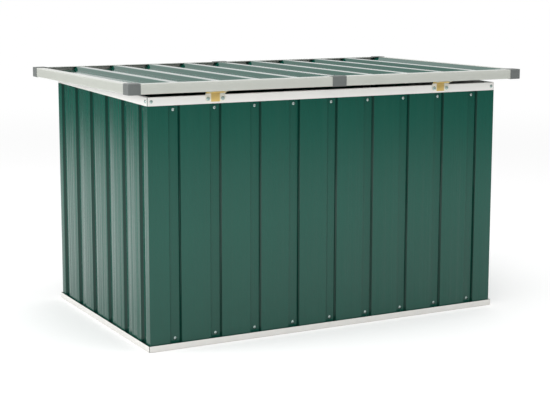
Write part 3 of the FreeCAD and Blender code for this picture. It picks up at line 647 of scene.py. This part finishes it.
# corrugated wall sheets, wide crests outside and narrow valleys
walls = {
    "sheet": 0.0005, "pitch": 0.156, "floor": 0.033, "run": 0.006, "depth": 0.012, "lap": 0.024,
    "longValleys": 9, "shortValleys": 6, "bendRadius": 0.0015, "bendSteps": 4, "topGap": 0.0004,
}


def valleyCount(side):
    return walls["longValleys"] if side in longSides else walls["shortValleys"]


def wallSheets():
    half = walls["sheet"] / 2
    crest = rails["sheet"] + half
    floor = rails["sheet"] + walls["depth"] - half
    near = walls["floor"] / 2
    far = near + walls["run"]

    def valley(x):
        return [(x - far, crest), (x - near, floor), (x + near, floor), (x + far, crest)]

    def wall(node, side, section):
        height = topOf(side) - 2 * rails["sheet"] - walls["topGap"]
        lift = Matrix.Translation((0, 0, rails["sheet"] + height / 2))
        place = onSide(side, sideHalf(side)) @ lift
        fold = (crest, floor - crest)
        foldSheet(node, section, height, walls, "greenWall", place, (0.0, -climbs[side]), fold)

    for side in shortSides:
        edge = sideLength(side) / 2 - rails["sheet"] - walls["sheet"]
        folds = [spot for x in evenly(valleyCount(side), walls["pitch"]) for spot in valley(x)]
        wall(f"wall_{side}", side, [(-edge, crest), *folds, (edge, crest)])
    for side in longSides:  # two sheets, lapped in the middle valley
        edge = sideLength(side) / 2 - rails["sheet"]
        steps = evenly(valleyCount(side), walls["pitch"])
        leftFolds = [spot for x in steps if x < -far for spot in valley(x)]
        rightFolds = [spot for x in steps if x > far for spot in valley(x)]
        lapped = floor - walls["sheet"]
        under = [(-edge, crest), *leftFolds, (-far, crest), (-near, floor), (walls["lap"] / 2, floor)]
        over = [(-walls["lap"] / 2, lapped), (near, lapped), (far, crest), *rightFolds, (edge, crest)]
        first, second = ("left", "right") if side == "rear" else ("right", "left")
        wall(f"wall_{side}_{first}", side, under)
        wall(f"wall_{side}_{second}", side, over)


wallSheets()
print("wall sheets made")

# corner posts
posts = {"sheet": 0.0015, "leg": 0.028, "bendRadius": 0.002, "bendSteps": 4}


def cornerPosts():
    half = posts["sheet"] / 2
    section = [(posts["leg"], half), (half, half), (half, posts["leg"])]
    inset = rails["sheet"] + walls["sheet"]
    atX, atY = body["halfLength"] - inset, body["halfDepth"] - inset
    for corner, (turn, wayX, wayY) in corners.items():
        low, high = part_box(f"corner_post_{corner}")
        place = Matrix.Translation((wayX * atX, wayY * atY, (low.z + high.z) / 2)) @ turnZ(turn)
        foldSheet(f"corner_post_{corner}", section, high.z - low.z, posts, "galvanisedSteel", place)


cornerPosts()
print("corner posts made")

# lid frame
lidFrame = {
    "sheet": 0.001, "lip": 0.030, "flange": 0.040, "bendRadius": 0.0022, "bendSteps": 5,
    "mitreGap": 0.0004, "braceWidth": 0.050, "braceOutset": 0.007,
}


def lidRails():
    half = lidFrame["sheet"] / 2
    low, high = lid["railBottom"] + half, lid["railTop"] - half
    section = [(lidFrame["flange"], low), (half, low), (half, high), (lidFrame["lip"], high)]
    halfLength, halfDepth = lid["railHalfLength"], lid["railHalfDepth"]
    gap = lidFrame["mitreGap"]
    for side in shortSides:
        place = onSide(side, halfLength) @ alongX
        foldSheet(f"lid_rail_{side}", section, 2 * halfDepth - gap, lidFrame, "lidRail", place, bothMitred)
    for side in longSides:
        for end, way in ends.items():
            along = way if side == "rear" else -way
            length = halfLength - gap / 2
            middle = Matrix.Translation((along * length / 2, 0, 0))
            place = onSide(side, halfDepth) @ middle @ alongX
            mitre = (0.0, 1.0) if along > 0 else (1.0, 0.0)
            foldSheet(f"lid_rail_{side}_{end}", section, length, lidFrame, "lidRail", place, mitre)


def lidBraces():
    half = lidFrame["sheet"] / 2
    side = lidFrame["braceWidth"] / 2 - half
    braceLow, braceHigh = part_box("lid_brace_centre")
    low, high = braceLow.z + half, braceHigh.z
    section = [(-side, high), (-side, low), (side, low), (side, high)]
    depth = 2 * (lid["railHalfDepth"] - lidFrame["sheet"])
    outer = body["halfLength"] + lidFrame["braceOutset"] - lidFrame["braceWidth"] / 2
    for name, x in (("left", -outer), ("centre", 0.0), ("right", outer)):
        place = Matrix.Translation((x, 0, 0)) @ alongY
        foldSheet(f"lid_brace_{name}", section, depth, lidFrame, "galvanisedSteel", place)


# lid sheets with narrow ribs up
ribs = {
    "sheet": 0.0005, "pitch": 0.156, "perSheet": 4, "top": 0.032, "run": 0.008, "height": 0.013,
    "lap": 0.024, "edgeRun": 0.022, "bendRadius": 0.0024, "bendSteps": 4,
}


def lidSheets():
    half = ribs["sheet"] / 2
    high = lid["railTop"] - lidFrame["sheet"] - half
    low = high - ribs["height"]
    near = ribs["top"] / 2
    far = near + ribs["run"]
    edge = lid["railHalfLength"] - lidFrame["sheet"]
    lip = lid["railHalfLength"] - lidFrame["lip"]
    depth = 2 * (lid["railHalfDepth"] - lidFrame["sheet"])
    folds = []
    for i in range(ribs["perSheet"]):
        x = (i + 1) * ribs["pitch"]
        folds += [(x - far, low), (x - near, high), (x + near, high), (x + far, low)]
    underLip = [(lip - ribs["edgeRun"], low), (lip, high), (edge, high)]
    for end, way in ends.items():
        lapped = high if way > 0 else high - ribs["sheet"]  # the right sheet lies over the left one
        section = [(-ribs["lap"] / 2, lapped), (near, lapped), (far, low), *folds, *underLip]
        place = Matrix.Rotation(0 if way > 0 else math.pi, 4, "Z") @ alongY
        foldSheet(f"lid_sheet_{end}", section, depth, ribs, "greenLid", place)


lidRails()
lidSheets()
lidBraces()

# plastic caps on the lid's corners, and covers on the joints of its long rails
caps = {
    "wall": 0.0015, "leg": 0.045, "round": 0.0025, "roundSteps": 4,
    "edge": 0.0004, "edgeSteps": 2, "edgeAngle": 60,
}
covers = {
    "sheet": 0.0015, "width": 0.057, "bendRadius": 0.0025, "bendSteps": 5,
    "edge": 0.0004, "edgeSteps": 2, "edgeAngle": 50,
}


def cornerCaps():
    leg = caps["leg"]
    plan = ((0, leg), (0, 0), (leg, 0), (leg, leg))
    for corner, (turn, wayX, wayY) in corners.items():
        form = bmesh.new()
        bottom = [form.verts.new((x, y, lid["bottom"])) for x, y in plan]
        top = [form.verts.new((x, y, lid["top"])) for x, y in plan]
        form.faces.new((bottom[0], bottom[1], top[1], top[0]))
        form.faces.new((bottom[1], bottom[2], top[2], top[1]))
        form.faces.new((top[0], top[1], top[2], top[3]))
        form.faces.new((bottom[3], bottom[2], bottom[1], bottom[0]))
        folded = [edge for edge in form.edges if len(edge.link_faces) == 2]
        bmesh.ops.recalc_face_normals(form, faces=form.faces[:])
        roundEdges(form, folded, caps["round"], caps["roundSteps"])
        mesh = meshOf(form, f"corner_cap_{corner}")
        mesh.materials.append(finishes["greyPlastic"])
        piece = newObject(camel(f"corner_cap_{corner}"), mesh)
        thicken(piece, caps["wall"], -1.0)
        soften(piece, caps["edge"], caps["edgeSteps"], caps["edgeAngle"])
        place = Matrix.Translation((wayX * lid["halfLength"], wayY * lid["halfDepth"], 0)) @ turnZ(turn)
        hand(settle(piece, place), f"corner_cap_{corner}")


def jointCovers():
    wall = covers["sheet"]
    half = wall / 2
    low, high = lid["bottom"] + half, lid["top"] - half
    flange, lip = lidFrame["flange"] + wall, lidFrame["lip"] + wall
    section = [(flange, low), (half, low), (half, high), (lip, high)]
    for side in longSides:
        place = onSide(side, lid["halfDepth"]) @ alongX
        foldSheet(f"joint_cover_{side}", section, covers["width"], covers, "greyPlastic", place)


cornerCaps()
jointCovers()
print("lid made")

# pan-head screws with a cross recess
screws = {
    "radius": 0.006, "hingeRadius": 0.007, "rim": 0.0012, "height": 0.0032, "edge": 0.0002,
    "shank": 0.0021, "tip": 0.003, "slotWide": 0.0013, "slotLong": 0.0062, "slotDeep": 0.0017,
    "steps": 28, "domeRings": 5, "cornerInset": 0.015, "belowRail": 0.015, "aboveBase": 0.014, "seed": 7,
}


def turnedMesh(name, section, steps):  # section of (height, radius) pairs, turned about Z
    form = bmesh.new()
    angles = [math.tau * i / steps for i in range(steps)]
    rings = []
    for height, radius in section:
        if radius == 0:
            rings.append([form.verts.new((0, 0, height))])
            continue
        ring = [(radius * math.cos(a), radius * math.sin(a), height) for a in angles]
        rings.append([form.verts.new(spot) for spot in ring])
    for first, second in zip(rings, rings[1:]):
        for i in range(steps):
            j = (i + 1) % steps
            if len(first) == 1:
                form.faces.new((first[0], second[j], second[i]))
            elif len(second) == 1:
                form.faces.new((first[i], first[j], second[0]))
            else:
                form.faces.new((first[i], first[j], second[j], second[i]))
    bmesh.ops.recalc_face_normals(form, faces=form.faces[:])
    return meshOf(form, name)


def boxMesh(name, low, high):
    form = bmesh.new()
    bmesh.ops.create_cube(form, size=1.0)
    for vert in form.verts:
        vert.co = [low[i] + (vert.co[i] + 0.5) * (high[i] - low[i]) for i in range(3)]
    return meshOf(form, name)


def screwBlank(length, radius):
    rim, top, edge, shank = screws["rim"], screws["height"], screws["edge"], screws["shank"]
    crown = top - rim
    ball = (radius ** 2 + crown ** 2) / (2 * crown)  # radius of the dome
    section = [(-length, 0), (-length, shank), (0, shank), (0, radius), (rim - edge, radius)]
    for i in range(screws["domeRings"]):
        ring = radius * (1 - i / screws["domeRings"]) - (edge if i == 0 else 0)
        section.append((top - ball + math.sqrt(ball ** 2 - ring ** 2), ring))
    section.append((top, 0))
    piece = newObject("screwBlank", turnedMesh("screwBlank", section, screws["steps"]))
    slot = (screws["slotWide"], screws["slotLong"])
    tools = []
    for wide, long in (slot, slot[::-1]):
        low, high = (-wide / 2, -long / 2, top - screws["slotDeep"]), (wide / 2, long / 2, top + rim)
        tools.append(newObject("slot", boxMesh("slot", low, high)))
        recess = piece.modifiers.new("recess", "BOOLEAN")
        recess.operation = "DIFFERENCE"
        recess.object = tools[-1]
    settle(piece)
    for tool in tools:
        bpy.data.objects.remove(tool)
    return piece


def screwGroup(node, rows, length, radius=screws["radius"]):  # rows of (facing, spots)
    pieces = []
    blank = screwBlank(length, radius)
    for facing, spots in rows:
        mesh = bpy.data.meshes.new(node)
        mesh.from_pydata(spots, [], [])
        piece = newObject(f"{camel(node)}{len(pieces) or ''}", mesh)
        growNodes(piece, screwTree, {
            "Screw": blank, "Facing": facing, "Seed": screws["seed"] + len(pieces),
            "Finish": finishes["screwSteel"],
        })
        pieces.append(settle(piece))
    form = bmesh.new()
    for piece in pieces:
        form.from_mesh(piece.data)
    form.to_mesh(pieces[0].data)
    form.free()
    for piece in pieces[1:]:
        bpy.data.objects.remove(piece)
    bpy.data.objects.remove(blank)
    hand(pieces[0], node)


def outward(place):
    return (place.to_3x3() @ Vector((0, -1, 0)))[:]


def boxScrews():
    seat = rails["sheet"] + walls["depth"] - walls["sheet"]
    length = 2 * walls["sheet"] + rails["sheet"] + screws["tip"]
    for side in sides:
        place = onSide(side, sideHalf(side))
        high = topOf(side) - rails["topFace"] - screws["belowRail"]
        spots = []
        for x in evenly(valleyCount(side), walls["pitch"]):
            raised = walls["sheet"] if abs(x) < walls["run"] else 0  # on the lap
            for z in (rails["baseFace"] + screws["aboveBase"], high + climbs[side] * x):
                spots.append((place @ Vector((x, seat - raised, z)))[:])
        screwGroup(f"wall_screws_{side}", [(outward(place), spots)], length)
    rows = []
    for side in sides:
        place = onSide(side, sideHalf(side)) @ climbing(side)
        reach = sideLength(side) / 2 - screws["cornerInset"]
        level = topOf(side) - rails["topFace"] / 2
        rows.append((outward(place), [(place @ Vector((way * reach, 0, level)))[:] for way in (-1, 1)]))
    screwGroup("corner_screws", rows, rails["sheet"] + walls["sheet"] + posts["sheet"] + screws["tip"])


boxScrews()
print("screws made")

# butt hinges
hinges = {
    "offset": 0.470, "width": 0.076, "sheet": 0.0015, "drop": 0.024, "reach": 0.030, "chamfer": 0.006,
    "screwSpread": 0.028, "screwDrop": 0.013, "screwReach": 0.018, "barrel": 0.0045, "gap": 0.0004,
    "pin": 0.0025, "pinEnd": 0.6, "pinTaper": 0.0006, "bore": 0.00255, "soft": 0.0003, "softSteps": 2,
    "steps": 32, "mergeGap": 1e-6,
}


def joinMeshes(name, meshes):
    form = bmesh.new()
    for mesh in meshes:
        form.from_mesh(mesh)
        bpy.data.meshes.remove(mesh)
    return meshOf(form, name)


def plateMesh(name, outline, thickness, matrix):  # flat outline in X and Y, raised along Z
    form = bmesh.new()
    face = form.faces.new([form.verts.new((x, y, 0)) for x, y in outline])
    raised = bmesh.ops.extrude_face_region(form, geom=[face])
    for item in raised["geom"]:
        if isinstance(item, bmesh.types.BMVert):
            item.co.z += thickness
    bmesh.ops.recalc_face_normals(form, faces=form.faces[:])
    roundEdges(form, form.edges[:], hinges["soft"], hinges["softSteps"])
    mesh = meshOf(form, name)
    mesh.transform(matrix)
    return mesh


def barrelMesh(start, end, matrix):  # tube along Z with softened rims
    inner, outer, soft = hinges["bore"], hinges["barrel"], hinges["soft"]
    section = [
        (start, inner), (start, outer - soft), (start + soft, outer), (end - soft, outer),
        (end, outer - soft), (end, inner), (start, inner),
    ]
    mesh = turnedMesh("barrel", section, hinges["steps"])
    form = bmesh.new()
    form.from_mesh(mesh)
    bmesh.ops.remove_doubles(form, verts=form.verts[:], dist=hinges["mergeGap"])  # closes the bore
    bmesh.ops.recalc_face_normals(form, faces=form.faces[:])
    form.to_mesh(mesh)
    form.free()
    mesh.transform(matrix)
    return mesh


def pinMesh(half, matrix):
    full, end, taper = hinges["pin"], hinges["pin"] * hinges["pinEnd"], hinges["pinTaper"]
    section = [(-half, 0), (-half, end), (-half + taper, full), (half - taper, full), (half, end), (half, 0)]
    mesh = turnedMesh("pin", section, hinges["steps"])
    mesh.transform(matrix)
    return mesh


def makeHinges():
    axis = jointAt["lid_hinge"]
    half, sheet, chamfer, reach = hinges["width"] / 2, hinges["sheet"], hinges["chamfer"], hinges["reach"]
    knuckle = hinges["width"] / 6  # half of the middle knuckle, one of three
    low = body["rearTop"] - hinges["drop"]
    notchBack = hinges["barrel"] + hinges["gap"]
    step = axis.z - hinges["barrel"] - hinges["gap"]
    notch = knuckle + hinges["gap"]
    lowerOutline = [
        (chamfer - half, low), (half - chamfer, low), (half, low + chamfer), (half, step),
        (knuckle, step), (knuckle, axis.z), (-knuckle, axis.z), (-knuckle, step),
        (-half, step), (-half, low + chamfer),
    ]
    upperOutline = [
        (half, 0), (half, chamfer - reach), (half - chamfer, -reach), (chamfer - half, -reach),
        (-half, chamfer - reach), (-half, 0), (-notch, 0), (-notch, -notchBack),
        (notch, -notchBack), (notch, 0),
    ]
    upright = Matrix.Rotation(math.pi / 2, 4, "X")  # X and Y become X and Z, raised towards -Y
    sideways = Matrix.Rotation(math.pi / 2, 4, "Y")  # Z becomes X
    for end, way in ends.items():
        x = way * hinges["offset"]
        barrel = Matrix.Translation((x, axis.y, axis.z)) @ sideways
        onRail = Matrix.Translation((x, -body["halfDepth"], 0)) @ upright
        underRail = Matrix.Translation((x, axis.y, lid["railBottom"] - sheet))
        lower = [plateMesh("leaf", lowerOutline, sheet, onRail), barrelMesh(-knuckle, knuckle, barrel)]
        upper = [plateMesh("leaf", upperOutline, sheet, underRail)]
        upper += [barrelMesh(notch, half, barrel), barrelMesh(-half, -notch, barrel)]
        for node, meshes, finishName in (
            (f"hinge_lower_leaf_{end}", lower, "hingeBrass"),
            (f"hinge_upper_leaf_{end}", upper, "hingeBrass"),
            (f"hinge_pin_{end}", [pinMesh(half, barrel)], "screwSteel"),
        ):
            piece = newObject(camel(node), joinMeshes(node, meshes))
            piece.data.materials.append(finishes[finishName])
            hand(settle(piece), node)
    screwXs = [
        way * hinges["offset"] + turn * hinges["screwSpread"] for way in (-1, 1) for turn in (-1, 1)
    ]
    lowerSpots = [(x, -body["halfDepth"] - sheet, body["rearTop"] - hinges["screwDrop"]) for x in screwXs]
    upperSpots = [(x, axis.y - hinges["screwReach"], lid["railBottom"] - sheet) for x in screwXs]
    length, radius = sheet + rails["sheet"], screws["hingeRadius"]
    screwGroup("hinge_screws_lower", [((0, -1, 0), lowerSpots)], length, radius)
    screwGroup("hinge_screws_upper", [((0, 0, -1), upperSpots)], length + screws["tip"], radius)


makeHinges()
print("hinges made")

# rubber pads that the closed lid rests on
pads = {"length": 0.040, "round": 0.001, "roundSteps": 3, "roundAngle": 30}


def rubberPads():
    low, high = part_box("lid_pads")
    half = pads["length"] / 2
    meshes = []
    for way in (-1, 0, 1):
        x = way * (high.x - half)
        meshes.append(boxMesh("pad", (x - half, low.y, low.z), (x + half, high.y, high.z)))
    piece = newObject("lidPads", joinMeshes("lidPads", meshes))
    piece.data.materials.append(finishes["padRubber"])
    soften(piece, pads["round"], pads["roundSteps"], pads["roundAngle"])
    hand(settle(piece), "lid_pads")


rubberPads()
print("pads made")

# CAD nodes that keep their shape
kept = {
    "galvanisedSteel": [
        "floor_left", "floor_right", "floor_joists", "strut_lower_bracket_left",
        "strut_lower_bracket_right", "strut_upper_bracket_left", "strut_upper_bracket_right",
    ],
    "strutBlack": ["strut_tube_left", "strut_tube_right"],
    "rodChrome": ["strut_rod_left", "strut_rod_right"],
}
for finishName, nodes in kept.items():
    for node in nodes:
        mesh = frame["nodes"][node].data
        mesh.materials.clear()
        mesh.materials.append(finishes[finishName])
print("kept solids coated")

# stage, light and camera
stage = {
    "halfSize": 60.0, "thickness": 0.02, "below": 0.0005, "rough": 0.9,
    "near": (0.90, 0.90, 0.90, 1), "far": (0.10, 0.10, 0.10, 1), "farRange": (3.5, 9.0),
    "nearGlow": 0.16, "farGlow": 0.92,
}


def makeStage():  # the floor is lit round the box, and far off only the camera sees it white
    half = stage["halfSize"]
    low, high = (-half, -half, -stage["thickness"]), (half, half, -stage["below"])
    floor = newObject("floor", boxMesh("floor", low, high))
    finish, tree, shader, place = newFinish(
        "paleFloor", Roughness=stage["rough"], Specular_IOR_Level=0.0, Emission_Strength=1.0
    )
    away = addNode(tree, "ShaderNodeVectorMath", operation="LENGTH")
    feed(tree, away.inputs[0], place)
    far = remap(tree, away.outputs["Value"], given=stage["farRange"], interpolation_type="SMOOTHSTEP")
    feed(tree, shader["Base Color"], blendColour(tree, far, stage["near"], stage["far"]))
    path = addNode(tree, "ShaderNodeLightPath").outputs
    mirrored = calc(tree, "MAXIMUM", path["Is Glossy Ray"], path["Is Transmission Ray"])
    mirrorGlow = calc(tree, "MULTIPLY", mirrored, remap(tree, far, wanted=(stage["nearGlow"], 0.0)))
    shown = remap(tree, far, wanted=(stage["nearGlow"], stage["farGlow"]))
    shownGlow = calc(tree, "MULTIPLY", path["Is Camera Ray"], shown)
    feed(tree, shader["Emission Color"], calc(tree, "MAXIMUM", mirrorGlow, shownGlow))
    floor.data.materials.append(finish)


sky = {"colour": (1, 1, 1, 1), "shown": 1.0, "ambient": 0.82}


def makeWorld():
    world = bpy.data.worlds.new("whiteStudio")
    bpy.context.scene.world = world
    world.use_nodes = True
    tree = world.node_tree
    seen = tree.nodes["Background"]  # what the camera, gloss and glass see
    soft = addNode(tree, "ShaderNodeBackground")  # what lights the object
    for node, strength in ((seen, sky["shown"]), (soft, sky["ambient"])):
        node.inputs["Color"].default_value = sky["colour"]
        node.inputs["Strength"].default_value = strength
    path = addNode(tree, "ShaderNodeLightPath").outputs
    direct = calc(tree, "MAXIMUM", path["Is Camera Ray"], path["Is Glossy Ray"])
    mix = addNode(tree, "ShaderNodeMixShader")
    feed(tree, mix.inputs[0], calc(tree, "MAXIMUM", direct, path["Is Transmission Ray"]))
    feed(tree, mix.inputs[1], soft.outputs[0])
    feed(tree, mix.inputs[2], seen.outputs[0])
    tree.links.new(mix.outputs[0], tree.nodes["World Output"].inputs["Surface"])


lampAim = Vector((0, 0, 0.5))
lamps = {  # the front lamp would shine back from the folds, so gloss doesn't see it
    "overhead": {"spot": (0.6, -1.2, 4.0), "size": 3.0, "energy": 40.0, "glossy": True},
    "sideSoftbox": {"spot": (-4.5, 0.6, 1.8), "size": 2.5, "energy": 95.0, "glossy": True},
    "frontSoftbox": {"spot": (-4.0, -6.0, 1.6), "size": 3.0, "energy": 135.0, "glossy": False},
}


def makeLamps():
    for name, spec in lamps.items():
        lamp = bpy.data.lights.new(name, "AREA")
        lamp.shape = "DISK"
        lamp.size = spec["size"]
        lamp.energy = spec["energy"]
        piece = newObject(name, lamp)
        piece.location = spec["spot"]
        piece.rotation_euler = (lampAim - Vector(spec["spot"])).to_track_quat("-Z", "Y").to_euler()
        piece.visible_glossy = spec["glossy"]


view = {
    "place": (-2.42, -4.462, 1.263), "yaw": -0.4854, "pitch": -0.1502,
    "lens": 85.3, "sensor": 36.0, "shift": (0.03, -0.05),
}


def makeCamera():
    camera = bpy.data.cameras.new("photoView")
    camera.lens = view["lens"]
    camera.sensor_width = view["sensor"]
    camera.shift_x, camera.shift_y = view["shift"]
    piece = newObject("photoView", camera)
    piece.location = view["place"]
    piece.rotation_euler = (math.pi / 2 + view["pitch"], 0, view["yaw"])
    bpy.context.scene.camera = piece


makeStage()
makeWorld()
makeLamps()
makeCamera()
bpy.context.scene.view_settings.view_transform = "Standard"
print("stage, light and camera made")
